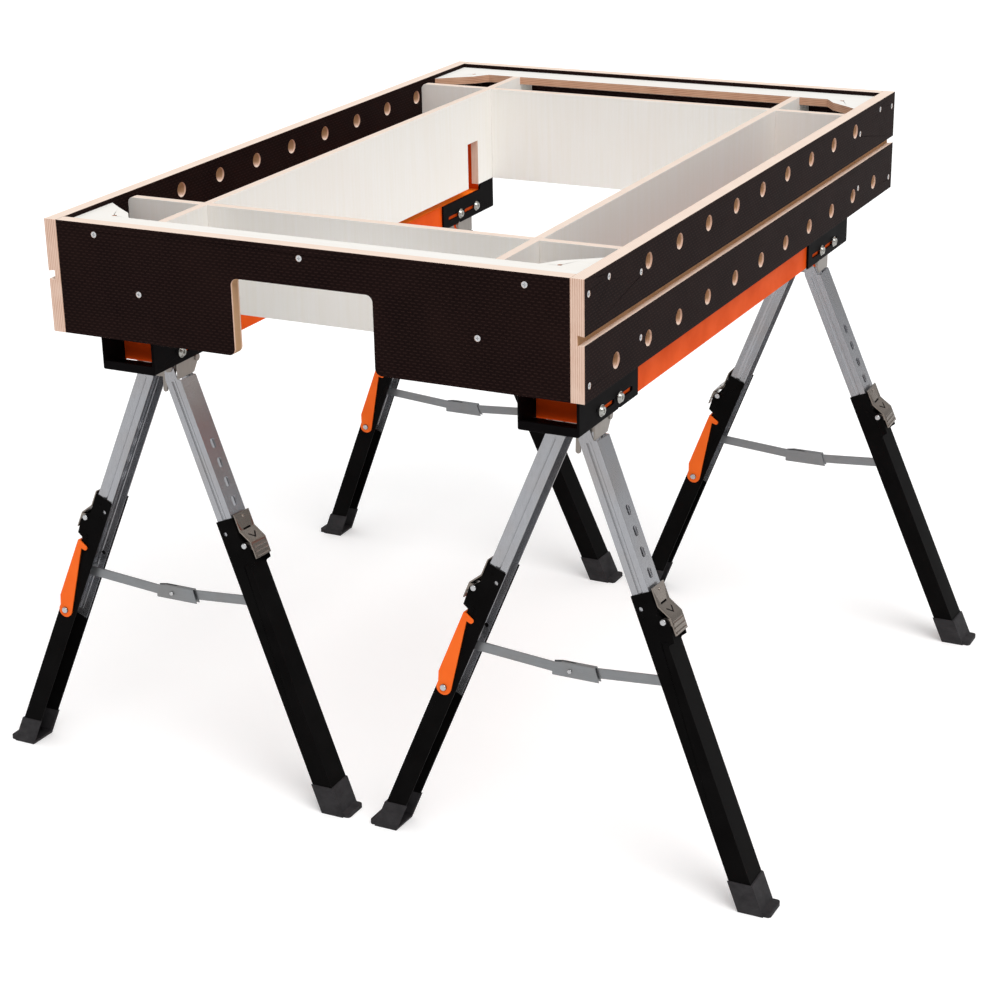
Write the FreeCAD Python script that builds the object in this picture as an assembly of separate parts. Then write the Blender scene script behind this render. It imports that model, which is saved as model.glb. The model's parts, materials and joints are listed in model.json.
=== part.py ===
"""Sawhorse workbench: an open plywood frame carried on two folding sawhorses.

Millimetres, +Z up, floor at z = 0. The origin is on the floor under the middle of
the two sawhorses' feet in X and under the middle of the plywood frame in Y.
X runs across the bench from west (-X) to east (+X), Y from front (-Y) to rear (+Y).
"""

import os

import FreeCAD
import Part
from math import atan, cos, degrees, radians, sin, tan

Vector = FreeCAD.Vector
X_AXIS = Vector(1, 0, 0)
Y_AXIS = Vector(0, 1, 0)
Z_AXIS = Vector(0, 0, 1)
ORIGIN = Vector(0, 0, 0)

# Working allowances
tight_gap = 0.2
overlap = 1.0
far = 2000.0
half = 0.5

# Plywood frame
work_height = 795.0
frame_length = 1138.0
frame_width = 748.0
frame_height = 148.0
panel_thick = 18.0
divider_thick = 12.0
divider_drop = 6.0
channel_width = 112.5
cross_inset = 162.0
cross_corner_radius = 8.0
lap_gap = 0.2

# Two rows of dog holes in the side panels, each with its margin to the end panels
dog_radius = 10.0
dog_pitch = 96.0
dog_low_margin = 71.0
dog_high_margin = 167.0
dog_low_depth = 120.5
dog_high_depth = 24.6

# Groove along each side panel
groove_depth = 9.0
groove_mouth = 10.0
groove_floor = 13.0
groove_centre_depth = 73.0

# Cut-out of each end panel
cutout_half_width = 99.0
cutout_top_depth = 49.0
cutout_radius = 9.0

# Slots at the ends of the long dividers
slot_width = 34.0
slot_height = 70.0
slot_inset = 217.0

# Rails across the top of both ends: each gusset's edge in shares of its width and depth
rail_thick = 12.0
rail_depth = 44.0
gusset_width = 68.0
gusset_depth = 60.0
gusset_shares = [(1, 1), (0.662, 0.70), (0.235, 0.358), (0.059, 0.083), (0, 0)]
pocket_side_inset = 43.2
pocket_inset = 48.0
pocket_radius = 3.0

# Screws let into the panels: side places in shares of the cross dividers' inset and the
# frame's height, end places in shares of the long dividers' offset and the frame's height
screw_pocket_radius = 4.0
screw_radius = screw_pocket_radius - tight_gap * half
screw_pocket_depth = 3.0
screw_head = 2.6
screw_drive_width = 1.0
screw_drive_length = 4.4
screw_drive_depth = 1.2
side_screw_shares = [(0.077, 0.135), (0.426, 0.095), (1, 0.22), (0.083, 0.872), (1, 0.767)]
end_screw_shares = [(-1.259, 0.095), (0, 0.095), (1.259, 0.095), (-1, 0.574), (1, 0.574)]

# Beam: a steel channel open underneath, with a tongue standing at each end
beam_half_width = 36.5
beam_height = 36.5
beam_drop = 12.0
beam_sheet = 2.0
beam_lip = 8.0
tongue_rise = 76.0
tongue_inset = 3.5
tongue_shoulder_gap = 1.0
tongue_thick = 2.5
tongue_radius = 6.0

# End bracket sliding on the beam
bracket_reach = 45.0
bracket_travel = 36.0
bracket_tail = 17.0
bracket_side_gap = 0.7
bracket_sheet = 2.8
bracket_under = 1.5
bracket_lip_height = 12.0
bracket_floor_length = 40.0
bracket_bend = 2.4
upstand_slope = 3.0
bolt_inset = 63.0
bolt_pitch = 54.0
bolt_rise = 15.0
bolt_shank_radius = 2.6
bolt_head_radius = 7.0
bolt_head_thick = 3.0
bolt_crown_radius = 5.0
bolt_washer_radius = 7.6
bolt_washer_thick = 1.0
bolt_hex_radius = 2.4
bolt_hex_depth = 1.6
slot_play = 0.4
slot_lead = 2.0
rivet_radius = 1.6
rivet_lead = 12.0
rivet_lift = 4.0
rivet_rise = 0.8
notch_lead = 3.0
notch_length = 8.0
notch_depth = 2.5

# Where the sawhorses stand: how far a bracket reaches under the east side panel, how far
# its wall passes the middle of the west divider, how near a front bracket comes to the
# front panel, how far a rear one passes the middle of the rear cross divider, and half the
# room between the inner legs' lines at the floor
east_bearing = 1.0
west_bearing = 0.5
front_bearing_gap = 2.0
rear_bearing = 8.0
foot_middle_gap = 41.5

# Hinge that folds a leg pair under the beam
hinge_inset = 63.0
hinge_drop = 7.5
hinge_pin_radius = 3.0
hinge_play = 0.3
hinge_head_radius = 5.0
hinge_head_thick = 1.6
ear_sheet = 2.9
ear_gap = 0.6
ear_radius = 7.0

# Leg head
skirt_inset = 4.5
skirt_sheet = 2.0
skirt_reach = 45.0
skirt_drop = 18.0
skirt_tail = 8.0
head_rise = 5.0
head_sheet = 1.6
head_roof_tail = 9.5
head_plate_thick = 2.4
head_plate_gap = 0.3
head_plate_inset = 1.5
head_plate_drop = 14.0
knuckle_radius = 6.0
tab_offset = 8.5
tab_half_width = 3.2
tab_drop = 31.0

# Leg geometry
leg_splay = atan(0.0643)
closed_gap = 2.35
pivot_drop = 4.0
face_gap = 0.4
leg_pin_radius = 4.0
leg_pin_play = 0.3
leg_pin_head_radius = 6.5
leg_pin_head_thick = 1.5

# Upper leg: galvanised channel
upper_half = 11.75
upper_depth = 36.0
upper_sheet = 1.6
upper_length = 420.0
upper_eye_radius = 7.0
upper_inner_start = 14.0
neck_gap = 0.5
bead_half_width = 3.4
bead_depth = 1.3
bead_wall = 1.2
bead_start = 20.0
bead_margin = 12.0
latch_hole_pitch = 27.0
latch_hole_first = 113.0
latch_hole_count = 11
latch_hole_width = 9.5
latch_hole_length = 13.0
latch_hole_shift = 1.0
latch_hole_radius = 3.0
latched_hole = 4
tool_hole_drop = 97.7
tool_hole_offset = 5.2
tool_hole_radius = 3.0

# Lower leg: black channel around the upper leg, its latch ears in shares of their reach
# and length, its studs in shares of the upper leg's half width and of the studs' run
slide_gap = 0.3
lower_sheet = 1.7
lower_web_sheet = 1.8
lower_lap = 1.4
lower_lead = 8.0
latch_ear_lead = 12.0
latch_ear_reach = 12.4
latch_ear_length = 46.0
latch_ear_shares = [(0, 0), (1, 0.3), (0.87, 0.87), (0.28, 0.92), (0, 1)]
stud_run = 65.0
stud_shares = [(0.29, 0.17), (-0.37, 0.46), (0.68, 1)]
stud_radius = 1.8
stud_rise = 0.7
rivet_hole_drop = 18.7
rivet_hole_offset = 6.0
rivet_hole_radius = 3.0

# Rubber foot
foot_height = 39.0
foot_sole = 5.0
foot_wall = 2.15
foot_lip = 1.35
foot_side = 1.2
toe_length = 8.7
toe_run = 39.0
toe_height = 6.0
toe_inset = 1.0
toe_radius = 5.0

# Leg latch
latch_pin_stand = 4.35
latch_pin_drop = 32.0
latch_pin_radius = 2.5
latch_pin_play = 0.3
latch_rivet_radius = 4.0
latch_rivet_thick = 1.8
latch_side_gap = 0.6
latch_sheet = 1.6
latch_web_gap = 1.75
latch_top_lead = 3.0
latch_flat = 24.0
latch_slope = 17.7
latch_kick = 10.6
latch_tail = 22.3
latch_cheek_gap = 0.35
latch_cheek_tail = 10.0
latch_slot_length = 17.0
latch_slot_height = 2.6
latch_rib_radius = 1.2
latch_rib_pitch = 6.0
latch_rib_count = 3
dimple_radius = 2.4
dimple_drop = 6.2
peg_radius = 3.6
peg_shortfall = 0.85
arrow_length = 11.0
arrow_radius = 1.2

# Spreader brace between the legs
brace_pin_s = 334.0
brace_droop = radians(4.44)
brace_half_height = 6.5
brace_sheet = 2.4
brace_layer_gap = 0.4
brace_offset = 6.0
brace_pin_radius = 2.5
brace_pin_play = 0.3
cover_start = 24.0
cover_end_low = 40.0
cover_end_high = 34.0
cover_depth = 8.4
cover_shoulder = 8.6
cover_rise = 10.6
cover_sheet = 1.2
cover_hood_gap = 6.0
cover_roof_start = 12.0
cover_pin_radius = 2.6
cover_pin_rise = 1.2

# Support arm on each west leg: its sides in shares of its reach from the pivot out to the
# web and of its length from the pivot up
arm_pivot_x = 2.6
arm_pivot_drop = 186.3
arm_gap = 1.0
arm_sheet = 2.0
arm_web_gap = 1.55
arm_web_sheet = 2.2
arm_web_start = 16.8
arm_length = 110.3
arm_eye_radius = 10.4
arm_outline_shares = [(1, 1), (1, 0.152), (0.653, 0.025), (-0.68, 0.021), (0.44, 0.905), (0.44, 0.915),
                      (0.08, 0.915), (0.08, 0.976), (0.693, 1)]
arm_hook_shares = (0.08, 0.9456)
arm_hook_radius = 3.4
arm_slot_share = 0.338
arm_slot_length = 23.0
arm_slot_inset = 17.0
arm_slot_width = 9.0
arm_pin_radius = 3.2
arm_pin_play = 0.3
arm_pin_head_radius = 4.6
arm_pin_head_rise = 1.4

# Frame: worked out from the sizes above
frame_top = work_height
frame_bottom = frame_top - frame_height
half_length = frame_length * half
half_width = frame_width * half
front_face = -half_length
inner_front = front_face + panel_thick
inner_side = half_width - panel_thick
divider_top = frame_top - divider_drop
divider_half = divider_thick * half
divider_offset_x = inner_side - channel_width - divider_half
cross_y = front_face + cross_inset
lap_z = (divider_top + frame_bottom) * half

# Beam, bracket and hinge
beam_top = frame_bottom - beam_drop
beam_bottom = beam_top - beam_height
bracket_front = inner_front + front_bearing_gap
bracket_rear = rear_bearing - cross_y
bracket_outer = (bracket_rear - bracket_front) * half
beam_half_length = bracket_outer - bracket_reach
bracket_inner_half = beam_half_width + bracket_side_gap
bracket_half = bracket_inner_half + bracket_sheet
bracket_bottom = beam_bottom - bracket_under
bolt_height = bracket_bottom + bolt_rise
slot_half_height = bolt_shank_radius + slot_play
slot_run = bracket_travel + slot_lead
bracket_length = bolt_inset + bolt_pitch + bracket_travel + slot_half_height + bracket_tail
hinge_y = beam_half_length - hinge_inset
hinge_z = beam_bottom - hinge_drop
skirt_outer = beam_half_width - skirt_inset
skirt_inner = skirt_outer - skirt_sheet
ear_outer = skirt_inner - ear_gap
ear_inner = ear_outer - ear_sheet
hinge_pin_half = skirt_outer + hinge_head_thick
head_top = hinge_z + head_rise
skirt_bottom = hinge_z - skirt_drop
skirt_front = hinge_y + skirt_reach

# Places of the sawhorses and of the frame about the origin
stand_offset_x = (inner_side + east_bearing + divider_offset_x - west_bearing) * half
stand_shift_y = (bracket_rear + bracket_front) * half
frame_centre_x = stand_offset_x + bracket_half - inner_side - east_bearing

# Leg sections, in the leg's own frame
upper_front = lower_sheet + slide_gap
upper_rear = upper_front + upper_depth
lower_depth = upper_rear + upper_front
lower_web_inner = upper_half + slide_gap
lower_web_outer = lower_web_inner + lower_web_sheet
lower_flange_inner = -upper_half - lower_lap
pivot_x = closed_gap - lower_flange_inner
pivot_z = hinge_z - pivot_drop
leg_lean = atan((stand_offset_x - foot_middle_gap - pivot_x) * cos(leg_splay) / pivot_z)
leg_face_y = skirt_front - face_gap
head_plate_front = upper_front + upper_sheet + head_plate_gap
head_plate_rear = upper_rear - upper_sheet - head_plate_gap - head_plate_thick
head_plate_half = ear_inner - head_plate_inset
latch_hole_centre = lower_depth * half + latch_hole_shift
bead_radius = (bead_half_width * bead_half_width + bead_depth * bead_depth) / (bead_depth + bead_depth)
peg_s = latch_hole_first + latch_hole_pitch * latched_hole
lower_start = peg_s - lower_lead
latch_pin_x = lower_web_outer + latch_pin_stand
latch_pin_s = peg_s + latch_pin_drop
latch_front = lower_sheet + latch_side_gap
latch_rear = lower_depth - latch_front
arm_pivot_s = lower_start + arm_pivot_drop
arm_web_inner = lower_web_outer + arm_web_gap
arm_web_outer = arm_web_inner + arm_web_sheet
brace_front = lower_depth * half - brace_offset
brace_half_span = (pivot_x + brace_pin_s * sin(leg_lean)) / cos(brace_droop)


def box(x0, x1, y0, y1, z0, z1):
    """Box between two corners."""
    return Part.makeBox(x1 - x0, y1 - y0, z1 - z0, Vector(x0, y0, z0))


def rod_x(radius, x0, x1, y, z):
    """Cylinder along X."""
    return Part.makeCylinder(radius, x1 - x0, Vector(x0, y, z), X_AXIS)


def rod_y(radius, y0, y1, x, z):
    """Cylinder along Y."""
    return Part.makeCylinder(radius, y1 - y0, Vector(x, y0, z), Y_AXIS)


def rod_z(radius, z0, z1, x, y):
    """Cylinder along Z."""
    return Part.makeCylinder(radius, z1 - z0, Vector(x, y, z0), Z_AXIS)


def prism(points, direction):
    """Solid swept from a closed outline along a direction."""
    return Part.Face(Part.makePolygon(points + [points[0]])).extrude(direction)


def prism_y(outline, y0, y1):
    """Prism of an (x, z) outline between two Y planes."""
    return prism([Vector(x, y0, z) for x, z in outline], Y_AXIS * (y1 - y0))


def prism_x(outline, x0, x1):
    """Prism of a (y, z) outline between two X planes."""
    return prism([Vector(x0, y, z) for y, z in outline], X_AXIS * (x1 - x0))


def prism_z(outline, z0, z1):
    """Prism of an (x, y) outline between two Z planes."""
    return prism([Vector(x, y, z0) for x, y in outline], Z_AXIS * (z1 - z0))


def fuse(*shapes):
    """One clean solid from several overlapping ones."""
    return shapes[0].fuse(list(shapes[1:])).removeSplitter()


def cut(shape, *tools):
    """Shape with every tool taken out of it."""
    return shape.cut(list(tools)).removeSplitter()


def group(*shapes):
    """Separate solids kept together in one node."""
    return Part.makeCompound([solid for shape in shapes for solid in shape.Solids])


def flip_x(shape):
    """Mirror image across the YZ plane."""
    return shape.mirror(ORIGIN, X_AXIS)


def flip_y(shape):
    """Mirror image across the XZ plane."""
    return shape.mirror(ORIGIN, Y_AXIS)


def moved(shape, x, y, z):
    """Copy of a shape shifted by a vector."""
    copy = shape.copy()
    copy.translate(Vector(x, y, z))
    return copy


def round_edges(shape, radius, direction, wanted):
    """Fillet every edge that runs along a direction and whose middle passes a test."""
    edges = []
    for edge in shape.Edges:
        run = edge.Vertexes[-1].Point - edge.Vertexes[0].Point
        if run.Length > 0 and run.cross(direction).Length < tight_gap and wanted(edge.CenterOfMass):
            edges.append(edge)
    return shape.makeFillet(radius, edges)


# Plywood frame, built about its own middle and mirrored


def screw(x, y, z, direction):
    """Countersunk screw head, its face just below the panel's surface."""
    start = Vector(x, y, z) + direction * (screw_pocket_depth - screw_head)
    head = Part.makeCylinder(screw_radius, screw_head, start, direction)
    drives = []
    for wide, tall in ((screw_drive_width, screw_drive_length), (screw_drive_length, screw_drive_width)):
        drive = Part.makeBox(wide, tall, screw_drive_depth, Vector(-wide * half, -tall * half, 0))
        drive.Placement = FreeCAD.Placement(start, FreeCAD.Rotation(Z_AXIS, direction))
        drives.append(drive)
    return cut(head, *drives)


def screw_pocket(x, y, z, direction):
    """Pocket for one screw head."""
    start = Vector(x, y, z) - direction * overlap
    return Part.makeCylinder(screw_pocket_radius, screw_pocket_depth + overlap, start, direction)


def side_screw_places():
    """Places of the screws in the east side panel."""
    for y_share, z_share in side_screw_shares:
        y = front_face + cross_inset * y_share
        for place in (y, -y):
            yield half_width, place, frame_top - frame_height * z_share, -X_AXIS


def end_screw_places():
    """Places of the screws in the front end panel."""
    for x_share, z_share in end_screw_shares:
        yield divider_offset_x * x_share, front_face, frame_top - frame_height * z_share, Y_AXIS


def make_side_panel():
    """East side panel with two rows of dog holes and a groove along its outside."""
    panel = box(inner_side, half_width, front_face, -front_face, frame_bottom, frame_top)
    tools = [screw_pocket(*place) for place in side_screw_places()]
    for margin, depth in ((dog_low_margin, dog_low_depth), (dog_high_margin, dog_high_depth)):
        steps = round((-inner_front - margin) / dog_pitch)
        for step in range(-steps, steps + 1):
            tools.append(rod_x(dog_radius, inner_side - overlap, half_width + overlap, dog_pitch * step,
                               frame_top - depth))
    centre = frame_top - groove_centre_depth
    mouth, floor = groove_mouth * half, groove_floor * half
    outline = [(half_width, -mouth), (half_width, mouth), (half_width - groove_depth, floor),
               (half_width - groove_depth, -floor)]
    points = [Vector(x, front_face - overlap, centre + z) for x, z in outline]
    tools.append(prism(points, Y_AXIS * (frame_length + overlap + overlap)))
    return cut(panel, *tools)


def make_end_panel():
    """Front end panel with a wide cut-out in its lower edge."""
    panel = box(-inner_side, inner_side, front_face, inner_front, frame_bottom, frame_top)
    opening = box(-cutout_half_width, cutout_half_width, front_face - overlap, inner_front + overlap,
                  frame_bottom - overlap, frame_top - cutout_top_depth)
    opening = round_edges(opening, cutout_radius, Y_AXIS, lambda p: p.z > frame_bottom)
    panel = cut(panel, opening, *[screw_pocket(*place) for place in end_screw_places()])
    return round_edges(panel, cutout_radius, Y_AXIS,
                       lambda p: p.z < frame_bottom + overlap and abs(p.x) < cutout_half_width + overlap)


def make_long_divider():
    """East long divider, notched for the rails, the cross dividers and a slot near each end."""
    x0, x1 = divider_offset_x - divider_half, divider_offset_x + divider_half
    panel = box(x0, x1, inner_front, -inner_front, frame_bottom, divider_top)
    tools = []
    for sign in (-1, 1):
        rail_end = sign * (half_length - panel_thick - rail_depth)
        panel_end = sign * (half_length + overlap)
        y0, y1 = sorted((rail_end, panel_end))
        tools.append(box(x0 - overlap, x1 + overlap, y0, y1, divider_top - rail_thick, frame_top))
        lap = sign * cross_y
        reach = divider_half + lap_gap
        tools.append(box(x0 - overlap, x1 + overlap, lap - reach, lap + reach, lap_z - lap_gap, frame_top))
        slot = sign * (front_face + slot_inset + slot_width * half)
        tools.append(box(x0 - overlap, x1 + overlap, slot - slot_width * half, slot + slot_width * half,
                         frame_bottom - overlap, frame_bottom + slot_height))
    return cut(panel, *tools)


def make_cross_divider():
    """Front cross divider, halved over the long dividers."""
    y0, y1 = cross_y - divider_half, cross_y + divider_half
    panel = box(-inner_side, inner_side, y0, y1, frame_bottom, divider_top)
    panel = round_edges(panel, cross_corner_radius, Y_AXIS, lambda p: p.z > lap_z)
    laps = []
    for sign in (-1, 1):
        x = sign * divider_offset_x
        laps.append(box(x - divider_half - lap_gap, x + divider_half + lap_gap, y0 - overlap, y1 + overlap,
                        frame_bottom - overlap, lap_z + lap_gap))
    return cut(panel, *laps)


def make_top_rail():
    """Front rail with a gusset in each corner."""
    z0, z1 = divider_top - rail_thick, divider_top
    east = [(inner_side - gusset_width * (1 - across), inner_front + rail_depth + gusset_depth * along)
            for across, along in gusset_shares]
    west = [(-x, y) for x, y in reversed(east)]
    outline = [(-inner_side, inner_front), (inner_side, inner_front)] + east + west
    pocket_x = inner_side - pocket_side_inset
    holes = [rod_z(pocket_radius, z0 - overlap, z1 + overlap, x, inner_front + pocket_inset)
             for x in (-pocket_x, pocket_x)]
    return cut(prism_z(outline, z0, z1), *holes)


def make_frame_nodes():
    """Every node of the plywood frame, placed."""
    side = make_side_panel()
    end = make_end_panel()
    long_divider = make_long_divider()
    cross_divider = make_cross_divider()
    rail = make_top_rail()
    side_heads = group(*[screw(*place) for place in side_screw_places()])
    end_heads = group(*[screw(*place) for place in end_screw_places()])
    nodes = {
        "side_panel_east": side,
        "side_panel_west": flip_x(side),
        "end_panel_front": end,
        "end_panel_rear": flip_y(end),
        "long_divider_east": long_divider,
        "long_divider_west": flip_x(long_divider),
        "cross_divider_front": cross_divider,
        "cross_divider_rear": flip_y(cross_divider),
        "top_rail_front": rail,
        "top_rail_rear": flip_y(rail),
        "panel_screws": group(side_heads, flip_x(side_heads), end_heads, flip_y(end_heads)),
    }
    return {name: moved(shape, frame_centre_x, 0, 0) for name, shape in nodes.items()}


# Front end of a sawhorse, built about the middle of its beam


def make_ears():
    """Pair of hinge ears for the front leg pair."""
    ears = []
    for x0, x1 in ((ear_inner, ear_outer), (-ear_outer, -ear_inner)):
        plate = box(x0, x1, -hinge_y - ear_radius, -hinge_y + ear_radius, hinge_z,
                    beam_top - beam_sheet * half)
        round_end = rod_x(ear_radius, x0, x1, -hinge_y, hinge_z)
        hole = rod_x(hinge_pin_radius + hinge_play, x0 - overlap, x1 + overlap, -hinge_y, hinge_z)
        ears.append(cut(fuse(plate, round_end), hole))
    return ears


def make_beam():
    """Beam with a tongue at each end and a pair of hinge ears for each leg pair."""
    wide, long = beam_half_width, beam_half_length
    shell = box(-wide, wide, -long, long, beam_bottom, beam_top)
    shell = round_edges(shell, beam_sheet, Y_AXIS, lambda p: p.z > beam_bottom + overlap)
    hollow = box(-wide + beam_sheet, wide - beam_sheet, -far, far, beam_bottom + beam_sheet,
                 beam_top - beam_sheet)
    mouth = box(-wide + beam_lip, wide - beam_lip, -far, far, beam_bottom - overlap,
                beam_bottom + beam_sheet + overlap)
    base = box(-wide, wide, -long, -long + tongue_thick, beam_bottom, frame_bottom - tongue_shoulder_gap)
    tongue = box(-wide + tongue_inset, wide - tongue_inset, -long, -long + tongue_thick, beam_bottom,
                 beam_top + tongue_rise)
    tongue = round_edges(tongue, tongue_radius, Y_AXIS, lambda p: p.z > beam_top)
    end_parts = [base, tongue] + make_ears()
    return fuse(cut(shell, hollow, mouth), *(end_parts + [flip_y(part) for part in end_parts]))


def bolt_places():
    """Places along the beam of the bolts at its front end."""
    return [bolt_inset - bracket_outer, bolt_inset + bolt_pitch - bracket_outer]


def make_bracket():
    """Black bracket around the front end of the beam, slotted for its bolts."""
    y_out = -bracket_outer
    y_in = y_out + bracket_length
    low, high = bracket_bottom, beam_top
    side = [(y_out, low), (y_in, low), (y_in, high), (y_out + bracket_reach + upstand_slope, high),
            (y_out + bracket_reach, frame_bottom), (y_out, frame_bottom)]
    parts = [prism_x(side, bracket_inner_half, bracket_half),
             prism_x(side, -bracket_half, -bracket_inner_half),
             box(-bracket_half, bracket_half, y_out, y_out + bracket_sheet, low, low + bracket_lip_height),
             box(-bracket_half, bracket_half, y_out, y_out + bracket_floor_length, low, low + bracket_sheet)]
    bracket = fuse(*parts)
    bracket = round_edges(bracket, bracket_bend, Z_AXIS,
                          lambda p: p.y < y_out + overlap and abs(p.x) > bracket_half - overlap)
    bracket = round_edges(bracket, bracket_bend, X_AXIS,
                          lambda p: p.y < y_out + overlap and p.z < low + overlap)
    notch = y_out + bolt_inset + bolt_pitch - notch_lead
    tools = [box(-far, far, notch, notch + notch_length, low - overlap, low + notch_depth)]
    for y in bolt_places():
        y0 = y - slot_lead
        y1 = y0 + slot_run
        tools.append(box(-far, far, y0, y1, bolt_height - slot_half_height, bolt_height + slot_half_height))
        tools.extend([rod_x(slot_half_height, -far, far, end, bolt_height) for end in (y0, y1)])
    bracket = cut(bracket, *tools)
    rivet = rod_x(rivet_radius, bracket_half - tight_gap, bracket_half + rivet_rise,
                  y_out + bolt_inset - rivet_lead, bolt_height + rivet_lift)
    return fuse(bracket, rivet, flip_x(rivet))


def make_bolt(y):
    """Socket-head bolt and washer on the east side, through one slot of the bracket."""
    seat = bracket_half + tight_gap
    washer_end = seat + bolt_washer_thick
    shank = rod_x(bolt_shank_radius, beam_half_width, seat + tight_gap, y, bolt_height)
    washer = rod_x(bolt_washer_radius, seat, washer_end, y, bolt_height)
    head = Part.makeCone(bolt_head_radius, bolt_crown_radius, bolt_head_thick,
                         Vector(washer_end, y, bolt_height), X_AXIS)
    socket = rod_x(bolt_hex_radius, washer_end + bolt_head_thick - bolt_hex_depth, far, y, bolt_height)
    return cut(fuse(shank, washer, head), socket)


def make_bolts():
    """The eight bolts of one sawhorse."""
    corner = group(*[make_bolt(y) for y in bolt_places()])
    side = group(corner, flip_y(corner))
    return group(side, flip_x(side))


def splay(shape):
    """Tilt from the plane of the legs to their splay towards the front."""
    copy = shape.copy()
    copy.rotate(Vector(0, -leg_face_y, pivot_z), X_AXIS, -degrees(leg_splay))
    return copy


def lean(shape):
    """Move a leg part from the leg's own frame to the east leg at rest."""
    copy = shape.copy()
    copy.rotate(ORIGIN, Y_AXIS, -degrees(leg_lean))
    copy.translate(Vector(pivot_x, -leg_face_y, pivot_z))
    return splay(copy)


def make_leg_head():
    """Galvanised head between the front leg pair and its hinge."""
    knuckle = knuckle_radius * half
    skirt = [(-skirt_front, head_top), (-skirt_front, skirt_bottom), (-hinge_y - skirt_tail, skirt_bottom),
             (-hinge_y + knuckle, hinge_z - knuckle), (-hinge_y, head_top)]
    roof_end = -hinge_y - head_roof_tail
    parts = [box(-skirt_outer, skirt_outer, -skirt_front, roof_end, head_top - head_sheet, head_top),
             rod_x(hinge_pin_radius, -hinge_pin_half, hinge_pin_half, -hinge_y, hinge_z)]
    for x0, x1 in ((skirt_inner, skirt_outer), (-skirt_outer, -skirt_inner)):
        parts.append(prism_x(skirt, x0, x1))
        parts.append(rod_x(knuckle_radius, x0, x1, -hinge_y, hinge_z))
    for x0, x1 in ((skirt_outer, hinge_pin_half), (-hinge_pin_half, -skirt_outer)):
        parts.append(rod_x(hinge_head_radius, x0, x1, -hinge_y, hinge_z))
    top = head_top - pivot_z + overlap
    drop = head_plate_drop
    outline = [(-head_plate_half, top), (head_plate_half, top), (head_plate_half, -drop * half),
               (pivot_x, -drop), (-pivot_x, -drop), (-head_plate_half, -drop * half)]
    tab_end = head_plate_front + head_plate_thick
    inner = [prism_y(outline, y, y + head_plate_thick) for y in (head_plate_front, head_plate_rear)]
    inner.append(box(tab_offset - tab_half_width, tab_offset + tab_half_width, head_plate_front, tab_end,
                     -tab_drop, 0))
    inner.append(rod_y(tab_half_width, head_plate_front, tab_end, tab_offset, -tab_drop))
    for x in (-pivot_x, pivot_x):
        front = upper_front - tight_gap
        rear = upper_rear + tight_gap
        inner.append(rod_y(leg_pin_radius, front - leg_pin_head_thick, rear + leg_pin_head_thick, x, 0))
        inner.append(rod_y(leg_pin_head_radius, front - leg_pin_head_thick, front, x, 0))
        inner.append(rod_y(leg_pin_head_radius, rear, rear + leg_pin_head_thick, x, 0))
    parts.extend([splay(moved(piece, 0, -leg_face_y, pivot_z)) for piece in inner])
    return cut(fuse(*parts), box(-far, far, -far, far, head_top, far))


def leg_channel(x_inner, x_web, y_front, y_rear, sheet, s0, s1):
    """Channel open towards the other leg, from s0 to s1 below the pivot."""
    outer = box(x_inner, x_web, y_front, y_rear, -s1, -s0)
    hollow = box(x_inner - overlap, x_web - sheet, y_front + sheet, y_rear - sheet,
                 -s1 - overlap, -s0 + overlap)
    return cut(outer, hollow)


def latch_hole(s):
    """Tool for one latch hole through the web of a leg."""
    wide, tall = latch_hole_width * half, latch_hole_length * half
    hole = box(0, lower_web_outer + overlap, latch_hole_centre - wide, latch_hole_centre + wide,
               -s - tall, -s + tall)
    return round_edges(hole, latch_hole_radius, X_AXIS, lambda p: True)


def bead_bar(radius, y):
    """Bar with ball ends along an upper leg, for the bead pressed into its flange."""
    low = bead_margin - upper_length
    balls = [Part.makeSphere(radius, Vector(0, y, z)) for z in (low, -bead_start)]
    return fuse(rod_z(radius, low, -bead_start, 0, y), *balls)


def make_upper_leg():
    """Galvanised upper leg with its row of latch holes, in the leg's own frame."""
    beside = skirt_inner - pivot_x - neck_gap
    below = pivot_z - skirt_bottom + neck_gap
    neck_x = beside * cos(leg_lean) - below * sin(leg_lean)
    neck_s = beside * sin(leg_lean) + below * cos(leg_lean)
    shoulder_s = neck_s + (upper_half - neck_x) * tan(leg_lean)
    eye = upper_eye_radius
    outline = [(-eye, 0), (-upper_half, -upper_inner_start), (-upper_half, -upper_length),
               (upper_half, -upper_length), (upper_half, -shoulder_s), (neck_x, -neck_s), (eye, 0)]
    parts = [box(upper_half - upper_sheet, upper_half, upper_front, upper_rear, -upper_length, -shoulder_s)]
    beads = []
    for y in (upper_front, upper_rear - upper_sheet):
        parts.append(prism_y(outline, y, y + upper_sheet))
        parts.append(rod_y(eye, y, y + upper_sheet, 0, 0))
    inside = box(-far, far, upper_front, upper_rear, -far, 0)
    for y in (upper_front + bead_depth - bead_radius, upper_rear - bead_depth + bead_radius):
        parts.append(bead_bar(bead_radius + bead_wall, y).common(inside))
        beads.append(bead_bar(bead_radius, y))
    tools = [rod_y(leg_pin_radius + leg_pin_play, -far, far, 0, 0),
             rod_y(brace_pin_radius + brace_pin_play, -far, far, 0, -brace_pin_s),
             rod_y(tool_hole_radius, upper_rear - upper_sheet - overlap, far, -tool_hole_offset,
                   -lower_start - tool_hole_drop), *beads]
    tools.extend([latch_hole(latch_hole_first + latch_hole_pitch * index) for index in range(latch_hole_count)])
    return cut(fuse(*parts), *tools)


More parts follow.
